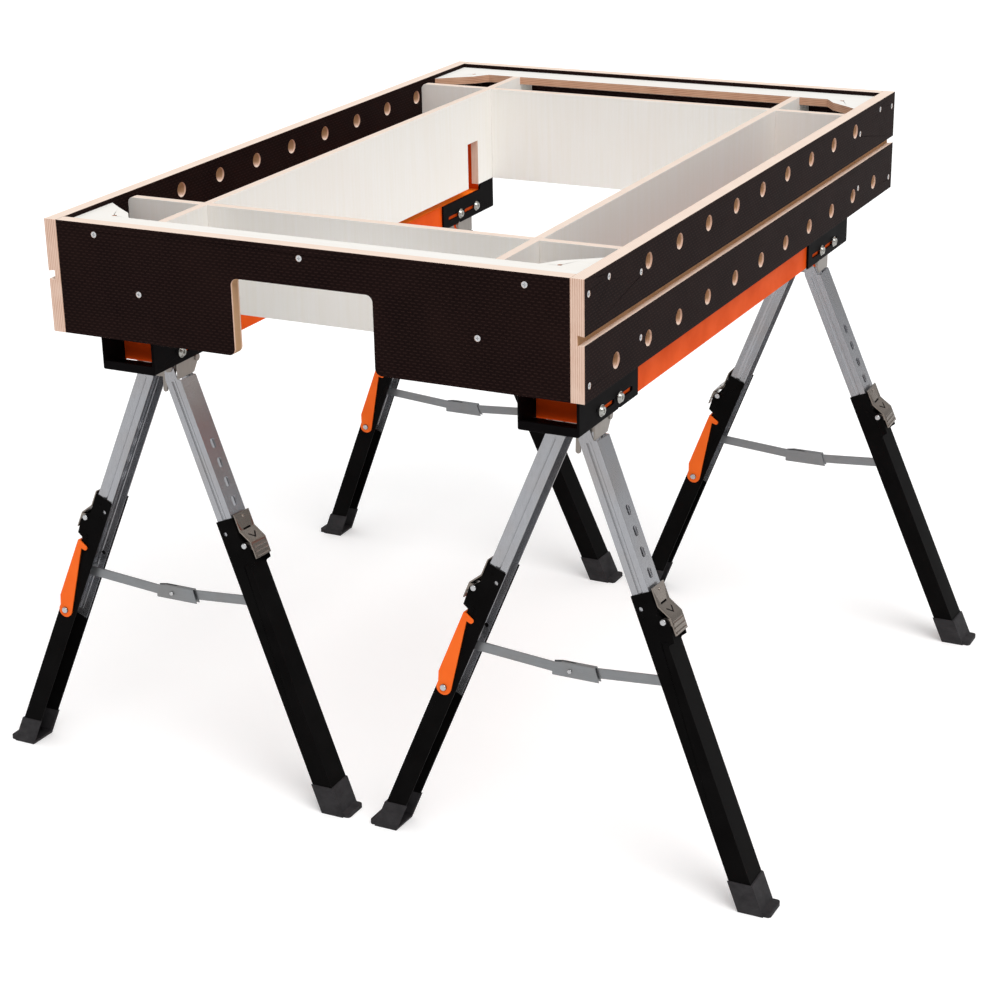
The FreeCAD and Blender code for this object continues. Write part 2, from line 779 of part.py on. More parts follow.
def make_lower_leg():
    """Black lower leg with its latch ears and latch pin, in the leg's own frame."""
    leg = leg_channel(lower_flange_inner, lower_web_outer, 0, lower_depth, lower_sheet, lower_start,
                      far * half)
    ear_s = latch_pin_s - latch_ear_lead
    ear_outline = [(lower_web_inner + latch_ear_reach * out, -ear_s - latch_ear_length * down)
                   for out, down in latch_ear_shares]
    pin_front = -latch_rivet_thick
    pin_rear = lower_depth + latch_rivet_thick
    parts = [prism_y(ear_outline, 0, lower_sheet),
             prism_y(ear_outline, lower_depth - lower_sheet, lower_depth),
             rod_y(latch_pin_radius, pin_front, pin_rear, latch_pin_x, -latch_pin_s),
             rod_y(latch_rivet_radius, pin_front, lower_sheet, latch_pin_x, -latch_pin_s),
             rod_y(latch_rivet_radius, lower_depth - lower_sheet, pin_rear, latch_pin_x, -latch_pin_s)]
    for across, down in stud_shares:
        parts.append(rod_y(stud_radius, -stud_rise, lower_sheet, upper_half * across,
                           -lower_start - stud_run * down))
    rivet_hole = rod_y(rivet_hole_radius, -overlap, lower_sheet + overlap, -rivet_hole_offset,
                       -lower_start - rivet_hole_drop)
    return cut(fuse(leg, *parts), rivet_hole, latch_hole(peg_s))


def make_arm_pins():
    """Stubs on both sides of a west lower leg for its support arm."""
    reach = arm_gap + arm_sheet + arm_pin_head_rise
    head = arm_gap + arm_sheet + tight_gap
    return [rod_y(arm_pin_radius, -reach, lower_sheet, arm_pivot_x, -arm_pivot_s),
            rod_y(arm_pin_radius, lower_depth - lower_sheet, lower_depth + reach, arm_pivot_x, -arm_pivot_s),
            rod_y(arm_pin_head_radius, -reach, -head, arm_pivot_x, -arm_pivot_s),
            rod_y(arm_pin_head_radius, lower_depth + head, lower_depth + reach, arm_pivot_x, -arm_pivot_s)]


def stand_on_foot(leg):
    """Lower leg leaned to its place and cut off at the sole of its foot."""
    return cut(lean(leg), box(-far, far, -far, far, -far, foot_sole))


def make_foot():
    """Rubber foot around the bottom of the east leg, flat on the floor."""
    outer = lower_web_outer + foot_wall
    body = box(lower_flange_inner - foot_lip, outer, -foot_side, lower_depth + foot_side, -far * half,
               -lower_start)
    body = lean(body).common(box(-far, far, -far, far, 0, foot_height))
    heel_y = -leg_face_y - pivot_z * tan(leg_splay)
    toe_x = pivot_x + pivot_z * tan(leg_lean) / cos(leg_splay) + outer / cos(leg_lean) + toe_length
    toe = box(toe_x - toe_run, toe_x, heel_y + toe_inset, heel_y + lower_depth - toe_inset, 0, toe_height)
    toe = round_edges(toe, toe_radius, Z_AXIS, lambda p: p.x > toe_x - overlap)
    inside = box(-far, lower_web_outer, 0, lower_depth, -far * half, far)
    pocket = lean(inside).common(box(-far, far, -far, far, foot_sole, far))
    return cut(fuse(body, toe), pocket)


def make_latch():
    """Zinc-plated latch on the outside of a lower leg, in the leg's own frame."""
    sheet = latch_sheet
    mid = lower_depth * half
    x0 = lower_web_outer + latch_web_gap
    x1 = x0 + latch_kick
    z0 = latch_top_lead - lower_start
    z1 = z0 - latch_flat
    z2 = z1 - latch_slope
    z3 = z2 - latch_tail
    bend = sheet * half
    outline = [(x0, z0), (x0, z1), (x1, z2), (x1, z3), (x1 + sheet, z3), (x1 + sheet, z2 + bend),
               (x0 + sheet, z1 + bend), (x0 + sheet, z0)]
    cheek_radius = latch_pin_stand - latch_cheek_gap
    cheek = [(latch_pin_x, cheek_radius - latch_pin_s), (x1 + bend, z2), (x1 + bend, z2 - latch_cheek_tail),
             (latch_pin_x, -cheek_radius - latch_pin_s)]
    parts = [prism_y(outline, latch_front, latch_rear),
             Part.makeSphere(dimple_radius, Vector(x0 + bend, mid, z0 - dimple_drop))]
    for y in (latch_front, latch_rear - sheet):
        parts.append(prism_y(cheek, y, y + sheet))
        parts.append(rod_y(cheek_radius, y, y + sheet, latch_pin_x, -latch_pin_s))
    for index in range(latch_rib_count):
        z = z3 + latch_rib_pitch * (index + half)
        parts.append(rod_y(latch_rib_radius, latch_front + sheet + sheet, latch_rear - sheet - sheet,
                           x1 + sheet, z))
    slope = Vector(x0 - x1, 0, z1 - z2)
    slope.normalize()
    arrow_foot = Vector((x0 + x1) * half + sheet, mid, (z1 + z2) * half + bend)
    arrow_foot = arrow_foot - slope * arrow_length * half
    arrow = [Part.makeCylinder(arrow_radius, arrow_length, arrow_foot, slope + side)
             for side in (Y_AXIS, -Y_AXIS)]
    arrow.append(Part.makeSphere(arrow_radius, arrow_foot))
    slot_z = z1 + tight_gap
    slot = box(x0 - overlap, x0 + sheet + overlap, mid - latch_slot_length * half,
               mid + latch_slot_length * half, slot_z, slot_z + latch_slot_height)
    bore = rod_y(latch_pin_radius + latch_pin_play, -far, far, latch_pin_x, -latch_pin_s)
    under_top = box(-far, x0, -far, far, z1, far)
    peg = rod_x(peg_radius, upper_half + peg_shortfall, x0 + bend, latch_hole_centre, -peg_s)
    return fuse(cut(fuse(*parts), slot, bore, under_top, *arrow), peg)


def brace_strip(y):
    """Round-ended strip of one brace half with its pin in the leg, in the leg's own frame."""
    y_end = y + brace_sheet
    return [box(-brace_half_span, 0, y, y_end, -brace_half_height, brace_half_height),
            rod_y(brace_half_height, y, y_end, 0, 0),
            rod_y(brace_half_height, y, y_end, -brace_half_span, 0),
            rod_y(brace_pin_radius, upper_front + tight_gap, upper_rear - tight_gap, 0, 0)]


def make_plain_brace():
    """East half of the brace."""
    return fuse(*brace_strip(brace_front + brace_sheet + brace_layer_gap))


def make_covered_brace():
    """West half of the brace with the cover over the middle, drawn as an east half."""
    middle = -brace_half_span
    wall = brace_front - cover_sheet
    rear = brace_front + brace_sheet + brace_layer_gap + brace_sheet + brace_layer_gap
    high, low = middle - cover_end_high, middle - cover_end_low
    hood_end = middle - cover_hood_gap
    outline = [(middle + cover_start, -cover_depth), (middle + cover_start, cover_shoulder),
               (middle + cover_roof_start, cover_rise), (high, cover_rise), (low, -cover_depth)]
    cover = [prism_y(outline, wall, brace_front), prism_y(outline, rear, rear + cover_sheet),
             box(high, hood_end, wall, rear + cover_sheet, cover_rise - cover_sheet, cover_rise),
             box(hood_end, middle + cover_roof_start, wall, brace_front + brace_sheet,
                 cover_rise - cover_sheet, cover_rise)]
    for piece in cover:
        piece.rotate(Vector(middle, 0, 0), Y_AXIS, degrees(brace_droop))
    rivet = rod_y(cover_pin_radius, wall - cover_pin_rise, brace_front + overlap, middle, 0)
    return fuse(rivet, *(cover + brace_strip(brace_front)))


def hang_brace(brace):
    """Brace half turned to its droop and hung on the east leg."""
    copy = brace.copy()
    copy.rotate(ORIGIN, Y_AXIS, degrees(leg_lean - brace_droop))
    copy.translate(Vector(0, 0, -brace_pin_s))
    return lean(copy)


def arm_point(out, up):
    """Point of the support arm from its two shares, as x and z in the leg's own frame."""
    return arm_pivot_x + (arm_web_outer - arm_pivot_x) * out, arm_length * up - arm_pivot_s


def make_arm():
    """Orange support arm around a leg, in the leg's own frame."""
    outline = [arm_point(out, up) for out, up in arm_outline_shares]
    hook_x, hook_z = arm_point(*arm_hook_shares)
    front = -arm_gap - arm_sheet
    rear = lower_depth + arm_gap
    parts = [box(arm_web_inner, arm_web_outer, front, rear + arm_sheet, arm_web_start - arm_pivot_s,
                 arm_length - arm_pivot_s)]
    for y in (front, rear):
        parts.append(prism_y(outline, y, y + arm_sheet))
        parts.append(rod_y(arm_eye_radius, y, y + arm_sheet, arm_pivot_x, -arm_pivot_s))
        parts.append(rod_y(arm_hook_radius, y, y + arm_sheet, hook_x, hook_z))
    bore = rod_y(arm_pin_radius + arm_pin_play, -far, far, arm_pivot_x, -arm_pivot_s)
    slot_y = arm_slot_inset - arm_gap
    slot_z = arm_length * arm_slot_share - arm_pivot_s
    slot = box(arm_web_inner - overlap, far, slot_y, slot_y + arm_slot_width, slot_z, slot_z + arm_slot_length)
    slot = round_edges(slot, arm_slot_width * half - tight_gap, X_AXIS, lambda p: True)
    return cut(fuse(*parts), bore, slot)


def make_stand_nodes(stand, x):
    """Every node of one sawhorse, placed at x."""
    lower = make_lower_leg()
    foot = make_foot()
    east_leg = group(stand_on_foot(lower), foot)
    west_leg = flip_x(group(stand_on_foot(fuse(lower, *make_arm_pins())), foot))
    upper = lean(make_upper_leg())
    latch = lean(make_latch())
    head = make_leg_head()
    plain = hang_brace(make_plain_brace())
    covered = flip_x(hang_brace(make_covered_brace()))
    arm = flip_x(lean(make_arm()))
    bracket = make_bracket()
    nodes = {"beam": make_beam(), "beam_bolts": make_bolts()}
    for end, turn in (("front", lambda shape: shape), ("rear", flip_y)):
        nodes[end + "_bracket"] = turn(bracket)
        nodes[end + "_leg_head"] = turn(head)
        nodes[end + "_east_upper_leg"] = turn(upper)
        nodes[end + "_west_upper_leg"] = turn(flip_x(upper))
        nodes[end + "_east_lower_leg"] = turn(east_leg)
        nodes[end + "_west_lower_leg"] = turn(west_leg)
        nodes[end + "_east_latch"] = turn(latch)
        nodes[end + "_west_latch"] = turn(flip_x(latch))
        nodes[end + "_east_brace"] = turn(plain)
        nodes[end + "_west_brace"] = turn(covered)
        nodes[end + "_arm"] = turn(arm)
    return {stand + "_" + name: moved(shape, x, stand_shift_y, 0) for name, shape in nodes.items()}


def main():
    """Build every node and write one STEP file for each."""
    nodes = make_frame_nodes()
    nodes.update(make_stand_nodes("west", -stand_offset_x))
    nodes.update(make_stand_nodes("east", stand_offset_x))
    os.makedirs("parts", exist_ok=True)
    for name, shape in nodes.items():
        shape.exportStep("parts/" + name + ".step")
        print(name, len(shape.Solids), shape.isValid())


main()
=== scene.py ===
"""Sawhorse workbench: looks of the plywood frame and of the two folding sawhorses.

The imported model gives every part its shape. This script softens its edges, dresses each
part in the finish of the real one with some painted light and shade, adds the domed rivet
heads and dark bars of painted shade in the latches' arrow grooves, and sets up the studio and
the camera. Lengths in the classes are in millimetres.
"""

import json
import logging
import math
from dataclasses import dataclass, field
from enum import Enum

import bmesh
import bpy
from mathutils import Matrix, Vector

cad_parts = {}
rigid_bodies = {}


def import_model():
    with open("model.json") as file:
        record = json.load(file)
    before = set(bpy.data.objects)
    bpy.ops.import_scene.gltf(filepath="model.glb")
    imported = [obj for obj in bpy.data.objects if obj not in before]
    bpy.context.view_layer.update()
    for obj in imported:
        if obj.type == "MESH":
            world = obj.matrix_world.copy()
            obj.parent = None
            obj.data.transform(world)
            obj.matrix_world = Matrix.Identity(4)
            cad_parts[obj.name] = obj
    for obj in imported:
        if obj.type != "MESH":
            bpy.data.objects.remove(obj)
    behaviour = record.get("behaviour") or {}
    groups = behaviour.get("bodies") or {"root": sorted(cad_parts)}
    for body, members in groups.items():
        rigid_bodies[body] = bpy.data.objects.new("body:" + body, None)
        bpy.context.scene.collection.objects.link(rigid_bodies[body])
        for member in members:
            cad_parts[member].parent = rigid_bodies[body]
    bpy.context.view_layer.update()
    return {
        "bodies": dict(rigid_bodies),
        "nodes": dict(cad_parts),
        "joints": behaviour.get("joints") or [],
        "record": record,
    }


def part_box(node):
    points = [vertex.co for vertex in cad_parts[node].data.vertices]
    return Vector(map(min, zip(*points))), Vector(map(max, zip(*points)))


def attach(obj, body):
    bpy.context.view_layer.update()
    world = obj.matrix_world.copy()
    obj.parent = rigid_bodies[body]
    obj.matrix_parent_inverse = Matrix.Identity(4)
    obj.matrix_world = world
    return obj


log = logging.getLogger("workbench")

MM = 0.001

Pair = tuple[float, float]
Triple = tuple[float, float, float]
# Low and high of a pattern, then the low and high that they become.
Range = tuple[float, float, float, float]

# Sockets of the Mix node by number, because their names repeat.
SHARE, NUMBER_A, NUMBER_B, COLOUR_A, COLOUR_B = 0, 2, 3, 6, 7
COLOUR_MIX = {"out": 2, "data_type": "RGBA"}

# Noise settings. Their coordinates already count repeats, so their scale stays 1.
PLAIN = {"Scale": 1.0}
CLOUDY = {"Scale": 1.0, "Detail": 3.0}
DIMPLED = {"Scale": 1.0, "Roughness": 0.4}
FIBROUS = {"Scale": 1.0, "Detail": 4.0, "Roughness": 0.6}
VEINED = {"Scale": 1.0, "Detail": 5.0, "Roughness": 0.6}
GRITTY = {"Scale": 1.0, "Detail": 4.0, "Roughness": 0.7}

WHITE = (1.0, 1.0, 1.0, 1.0)
RESIN_IOR = 1.5
RUBBER_IOR = 1.52


class Axis(Enum):
    """Direction in the object's own frame."""

    X = 0
    Y = 1
    Z = 2


def linear(colour: str) -> tuple[float, float, float, float]:
    """Turn an sRGB hex colour to linear, by the curve of the sRGB standard.

    Args:
        colour: Six hex digits after a hash sign.

    Returns:
        Linear red, green, blue and an alpha of 1.
    """
    parts = [int(colour[i:i + 2], 16) / 255 for i in (1, 3, 5)]
    values = [c / 12.92 if c <= 0.04045 else ((c + 0.055) / 1.055) ** 2.4 for c in parts]
    return (*values, 1.0)


def put(tree: bpy.types.NodeTree, kind: str, inputs: dict | tuple = (), out: int | str = 0,
        **settings: object) -> bpy.types.NodeSocket:
    """Add one node with its settings and its links.

    Args:
        tree: Node tree that takes the node.
        kind: Type name of the node, without its ShaderNode prefix.
        inputs: Sockets or values, in order or under the sockets' names or numbers.
        out: Name or number of the output to give.
        settings: Attributes to set on the node.

    Returns:
        That output of the new node.
    """
    node = tree.nodes.new("ShaderNode" + kind)
    for key, value in settings.items():
        setattr(node, key, value)
    sockets = inputs if isinstance(inputs, dict) else dict(enumerate(inputs))
    for key, value in sockets.items():
        if isinstance(value, bpy.types.NodeSocket):
            tree.links.new(value, node.inputs[key])
        else:
            node.inputs[key].default_value = value
    return node.outputs[out]


def component(tree: bpy.types.NodeTree, axis: Axis, of: str = "Object") -> bpy.types.NodeSocket:
    """Give one component of the part's own coordinates, or of its normal.

    Args:
        tree: Node tree that takes the nodes.
        axis: Which component.
        of: Output of the coordinates node that it is taken from.

    Returns:
        That component.
    """
    return put(tree, "SeparateXYZ", (put(tree, "TexCoord", out=of),), axis.value)


def sized(tree: bpy.types.NodeTree, *sizes: float) -> bpy.types.NodeSocket:
    """Count the part's own coordinates in the real sizes of a pattern.

    Args:
        tree: Node tree that takes the nodes.
        sizes: Size of one repeat in millimetres, along X, Y and Z or once for all three.

    Returns:
        The coordinates, one unit to a repeat.
    """
    every = sizes * 3 if len(sizes) == 1 else sizes
    place = put(tree, "TexCoord", out="Object")
    return put(tree, "Mapping", {"Vector": place, "Scale": [1 / (size * MM) for size in every]})


@dataclass(frozen=True)
class Finish:
    """A real finish: what it is and how its surface was made."""

    name: str

    def build(self) -> bpy.types.Material:
        """Make the material and dress its tree.

        Returns:
            The finished material.
        """
        material = bpy.data.materials.new(self.name)
        material.use_nodes = True
        tree = material.node_tree
        tree.nodes.clear()
        output = tree.nodes.new("ShaderNodeOutputMaterial")
        tree.links.new(self.surface(tree), output.inputs["Surface"])
        return material

    def surface(self, tree: bpy.types.NodeTree) -> bpy.types.NodeSocket:
        """Make the shader; each finish has its own."""
        raise NotImplementedError


@dataclass(frozen=True)
class PlyLayers(Finish):
    """Birch plywood of one board: crossed veneers whose edges show as fine stripes.

    Along its axis the board's middle lies that far from the centre, to both sides if mirrored.
    """

    axis: Axis = Axis.X
    centre: float = 0.0
    middle: float = 0.0
    thickness: float = 18.0
    layers: int = 13
    mirrored: bool = True
    edge_light: str = "#ebcdbb"
    edge_dark: str = "#c4947a"
    # Lighter tone of upward-facing edges: painted light from above.
    sanded: str = "#f5e8db"
    face_slant: float = 0.55
    face_depth: float = 0.46
    wander_size: float = 90.0
    wander: Range = (0.0, 1.0, -0.012, 0.012)
    stripe: Range = (-0.5, 0.5, 0.0, 1.0)
    blotch_size: float = 28.0
    blotch: Range = (0.3, 0.7, 0.25, 0.75)
    streak_size: Triple = (0.9, 0.9, 9.0)
    streak: Range = (0.35, 0.75, -0.08, 0.16)
    painted_light_top_share: Range = (0.8, 0.95, 0.0, 0.62)

    def depth(self, tree: bpy.types.NodeTree) -> bpy.types.NodeSocket:
        """Give the place through the board, 0 at its middle, in board thicknesses."""
        place = component(tree, self.axis)
        value = put(tree, "Math", (place, self.centre * MM), operation="SUBTRACT")
        if self.mirrored:
            value = put(tree, "Math", (value,), operation="ABSOLUTE")
        value = put(tree, "Math", (value, self.middle * MM), operation="SUBTRACT")
        return put(tree, "Math", (value, self.thickness * MM), operation="DIVIDE")

    def on_face(self, tree: bpy.types.NodeTree,
                depth: bpy.types.NodeSocket) -> bpy.types.NodeSocket:
        """Give 1 on the two faces of the board and 0 on its edges, holes and grooves."""
        square = put(tree, "Math", (component(tree, self.axis, "Normal"),), operation="ABSOLUTE")
        facing = put(tree, "Math", (square, self.face_slant), operation="GREATER_THAN")
        away = put(tree, "Math", (depth,), operation="ABSOLUTE")
        outside = put(tree, "Math", (away, self.face_depth), operation="GREATER_THAN")
        return put(tree, "Math", (facing, outside), operation="MULTIPLY")

    def veneers(self, tree: bpy.types.NodeTree, depth: bpy.types.NodeSocket
                ) -> tuple[bpy.types.NodeSocket, bpy.types.NodeSocket]:
        """Stripe the edge: each veneer is 1.4 mm thick and turned across the next, so every
        other one shows its end grain and drinks the light.

        Args:
            tree: Node tree that takes the nodes.
            depth: Place through the board.

        Returns:
            The edge's colour and the height of its sawn surface.
        """
        wander = put(tree, "TexNoise", PLAIN | {"Vector": sized(tree, self.wander_size)})
        shift = put(tree, "MapRange", (wander, *self.wander))
        place = put(tree, "Math", (depth, shift), operation="ADD")
        turns = put(tree, "Math", (place, math.pi * self.layers), operation="MULTIPLY")
        wave = put(tree, "Math", (turns,), operation="COSINE")
        stripe = put(tree, "MapRange", (wave, *self.stripe))
        fine = put(tree, "TexNoise", GRITTY | {"Vector": sized(tree, *self.streak_size)})
        blotch = put(tree, "TexNoise", PLAIN | {"Vector": sized(tree, self.blotch_size)})
        patchy = put(tree, "MapRange", (blotch, *self.blotch))
        dark = put(tree, "Math", (stripe, patchy), operation="MULTIPLY")
        streaky = put(tree, "MapRange", (fine, *self.streak))
        dark = put(tree, "Math", (dark, streaky), operation="ADD", use_clamp=True)
        colour = put(tree, "Mix", {SHARE: dark, COLOUR_A: linear(self.edge_light),
                                   COLOUR_B: linear(self.edge_dark)}, **COLOUR_MIX)
        # Upward-facing edges mixed towards a lighter tone: painted light from above.
        top = put(tree, "MapRange", (component(tree, Axis.Z, "Normal"), *self.painted_light_top_share))
        colour = put(tree, "Mix", {SHARE: top, COLOUR_A: colour, COLOUR_B: linear(self.sanded)},
                     **COLOUR_MIX)
        return colour, put(tree, "Math", (fine, wave), operation="ADD")


@dataclass(frozen=True)
class FilmFacedPly(PlyLayers):
    """Film-faced birch plywood: a dark phenolic film hot-pressed over both faces with a fine
    woven relief, which the eye sees as rows of short dashes that catch the light."""

    along: Axis = Axis.Y
    half_length: float = 569.0
    dash_length: float = 8.8
    dash_pitch: float = 3.9
    dash_stagger: float = 0.47
    dash_ends: Pair = (0.34, 0.26)
    dash_sides: Pair = (0.2, 0.1)
    # Brown of painted shade on the walls of holes, grooves and notches, kept off rims and ends.
    painted_recess_shade: str = "#a57f56"
    painted_recess_shade_rim: Range = (0.3, 0.44, 0.8, 0.0)
    painted_recess_shade_facing: Range = (0.5, 0.9, 1.0, 0.0)
    unshaded_end: float = 0.6
    film: str = "#160d0d"
    cloud_tone: str = "#1d1211"
    cloud_size: float = 60.0
    cloud: Range = (0.3, 0.7, 0.0, 1.0)
    rub_tone: str = "#2a1c19"
    rub_size: Triple = (1.1, 1.1, 16.0)
    rub: Range = (0.35, 0.7, 0.0, 0.3)
    dash_tone: str = "#3b2a26"
    dash_share: float = 0.45
    film_roughness: Range = (0.35, 0.7, 0.38, 0.5)
    edge_roughness: float = 0.72
    specular: float = 0.012
    relief_strength: float = 0.35
    relief_height: float = 0.12

    def dashes(self, tree: bpy.types.NodeTree) -> bpy.types.NodeSocket:
        """Give the pressed rows of dashes, each row set about half a dash on from the last."""
        height, run = component(tree, Axis.Z), component(tree, self.along)
        rows = put(tree, "Math", (height, self.dash_pitch * MM), operation="DIVIDE")
        row = put(tree, "Math", (rows,), operation="FLOOR")
        shift = put(tree, "Math", (row, self.dash_stagger), operation="MULTIPLY")
        runs = put(tree, "Math", (run, self.dash_length * MM), operation="DIVIDE")
        runs = put(tree, "Math", (runs, shift), operation="ADD")
        marks = []
        for count, fade in ((runs, self.dash_ends), (rows, self.dash_sides)):
            part = put(tree, "Math", (count,), operation="FRACT")
            offset = put(tree, "Math", (part, 0.5), operation="SUBTRACT")
            away = put(tree, "Math", (offset,), operation="ABSOLUTE")
            marks.append(put(tree, "MapRange", (away, *fade, 0.0, 1.0)))
        return put(tree, "Math", tuple(marks), operation="MULTIPLY")

    def paint_recess_shade(self, tree: bpy.types.NodeTree, depth: bpy.types.NodeSocket,
               colour: bpy.types.NodeSocket) -> bpy.types.NodeSocket:
        """Brown the walls of holes, grooves and notches with painted shade of the recess.

        Args:
            tree: Node tree that takes the nodes.
            depth: Place through the board.
            colour: Colour of the striped edge.

        Returns:
            The edge's colour, browned away from its rims, its ends and its upward faces.
        """
        away = put(tree, "Math", (depth,), operation="ABSOLUTE")
        rim = put(tree, "MapRange", (away, *self.painted_recess_shade_rim))
        run = put(tree, "Math", (component(tree, Axis.Y),), operation="ABSOLUTE")
        last = (self.half_length - self.unshaded_end) * MM
        inside = put(tree, "Math", (run, last), operation="LESS_THAN")
        wall = put(tree, "MapRange", (component(tree, Axis.Z, "Normal"), *self.painted_recess_shade_facing))
        share = put(tree, "Math", (rim, inside), operation="MULTIPLY")
        share = put(tree, "Math", (share, wall), operation="MULTIPLY")
        return put(tree, "Mix", {SHARE: share, COLOUR_A: colour, COLOUR_B: linear(self.painted_recess_shade)},
                   **COLOUR_MIX)

    def surface(self, tree: bpy.types.NodeTree) -> bpy.types.NodeSocket:
        """Near-black brown film with a low sheen on the faces, striped veneers elsewhere."""
        depth = self.depth(tree)
        face = self.on_face(tree, depth)
        edge = put(tree, "Math", (1.0, face), operation="SUBTRACT")
        edge_colour, edge_height = self.veneers(tree, depth)
        # Painted shade browns the walls of holes, grooves and notches.
        edge_colour = self.paint_recess_shade(tree, depth, edge_colour)
        dashes = self.dashes(tree)
        cloud = put(tree, "TexNoise", PLAIN | {"Vector": sized(tree, self.cloud_size)})
        rub = put(tree, "TexNoise", FIBROUS | {"Vector": sized(tree, *self.rub_size)})
        shares = (
            (put(tree, "MapRange", (cloud, *self.cloud)), self.cloud_tone),
            (put(tree, "MapRange", (rub, *self.rub)), self.rub_tone),
            (put(tree, "Math", (dashes, self.dash_share), operation="MULTIPLY"), self.dash_tone),
        )
        film = linear(self.film)
        for share, tone in shares:
            film = put(tree, "Mix", {SHARE: share, COLOUR_A: film, COLOUR_B: linear(tone)},
                       **COLOUR_MIX)
        colour = put(tree, "Mix", {SHARE: face, COLOUR_A: edge_colour, COLOUR_B: film},
                     **COLOUR_MIX)
        sheen = put(tree, "MapRange", (rub, *self.film_roughness))
        rough = put(tree, "Mix", {SHARE: face, NUMBER_A: self.edge_roughness, NUMBER_B: sheen})
        relief = put(tree, "Mix", {SHARE: edge, NUMBER_A: dashes, NUMBER_B: edge_height})
        normal = put(tree, "Bump", {"Strength": self.relief_strength,
                                    "Distance": self.relief_height * MM, "Height": relief})
        return put(tree, "BsdfPrincipled",
                   {"Base Color": colour, "Roughness": rough, "IOR": RESIN_IOR,
                    "Specular IOR Level": self.specular, "Normal": normal})


@dataclass(frozen=True)
class BirchPly(PlyLayers):
    """Bare sanded birch plywood: to the eye nearly white faces with a faint upright grain."""

    grain: Axis = Axis.Z
    face: str = "#f5f3ef"
    vein_tone: str = "#f2efe8"
    vein_size: Pair = (5.5, 150.0)
    vein: Range = (0.35, 0.68, 0.0, 1.0)
    pore_tone: str = "#dfd5c3"
    pore_size: Pair = (0.8, 22.0)
    pore: Range = (0.5, 0.8, 0.0, 0.1)
    cloud_tone: str = "#f2ebe3"
    cloud_size: float = 140.0
    cloud: Range = (0.4, 0.7, 0.0, 0.3)
    roughness: Range = (0.2, 0.8, 0.5, 0.62)
    specular: float = 0.35
    relief_strength: float = 0.25
    relief_height: float = 0.08

    def drawn_out(self, across: float, along: float) -> Triple:
        """Give a pattern's size along X, Y and Z when the grain draws it out.

        Args:
            across: Its size across the grain.
            along: Its size along the grain.

        Returns:
            The three sizes.
        """
        return tuple(along if axis is self.grain else across for axis in Axis)

    def surface(self, tree: bpy.types.NodeTree) -> bpy.types.NodeSocket:
        """White birch on the faces, striped veneers on the edges."""
        depth = self.depth(tree)
        face = self.on_face(tree, depth)
        edge_colour, edge_height = self.veneers(tree, depth)
        veins = sized(tree, *self.drawn_out(*self.vein_size))
        pores = sized(tree, *self.drawn_out(*self.pore_size))
        vein = put(tree, "TexNoise", VEINED | {"Vector": veins})
        pore = put(tree, "TexNoise", FIBROUS | {"Vector": pores})
        cloud = put(tree, "TexNoise", PLAIN | {"Vector": sized(tree, self.cloud_size)})
        veneer = linear(self.face)
        for pattern, reach, tone in ((vein, self.vein, self.vein_tone),
                                     (pore, self.pore, self.pore_tone),
                                     (cloud, self.cloud, self.cloud_tone)):
            share = put(tree, "MapRange", (pattern, *reach))
            veneer = put(tree, "Mix", {SHARE: share, COLOUR_A: veneer, COLOUR_B: linear(tone)},
                         **COLOUR_MIX)
        colour = put(tree, "Mix", {SHARE: face, COLOUR_A: edge_colour, COLOUR_B: veneer},
                     **COLOUR_MIX)
        relief = put(tree, "Mix", {SHARE: face, NUMBER_A: edge_height, NUMBER_B: pore})
        normal = put(tree, "Bump", {"Strength": self.relief_strength,
                                    "Distance": self.relief_height * MM, "Height": relief})
        rough = put(tree, "MapRange", (pore, *self.roughness))
        return put(tree, "BsdfPrincipled",
                   {"Base Color": colour, "Roughness": rough, "IOR": RESIN_IOR,
                    "Specular IOR Level": self.specular, "Normal": normal})


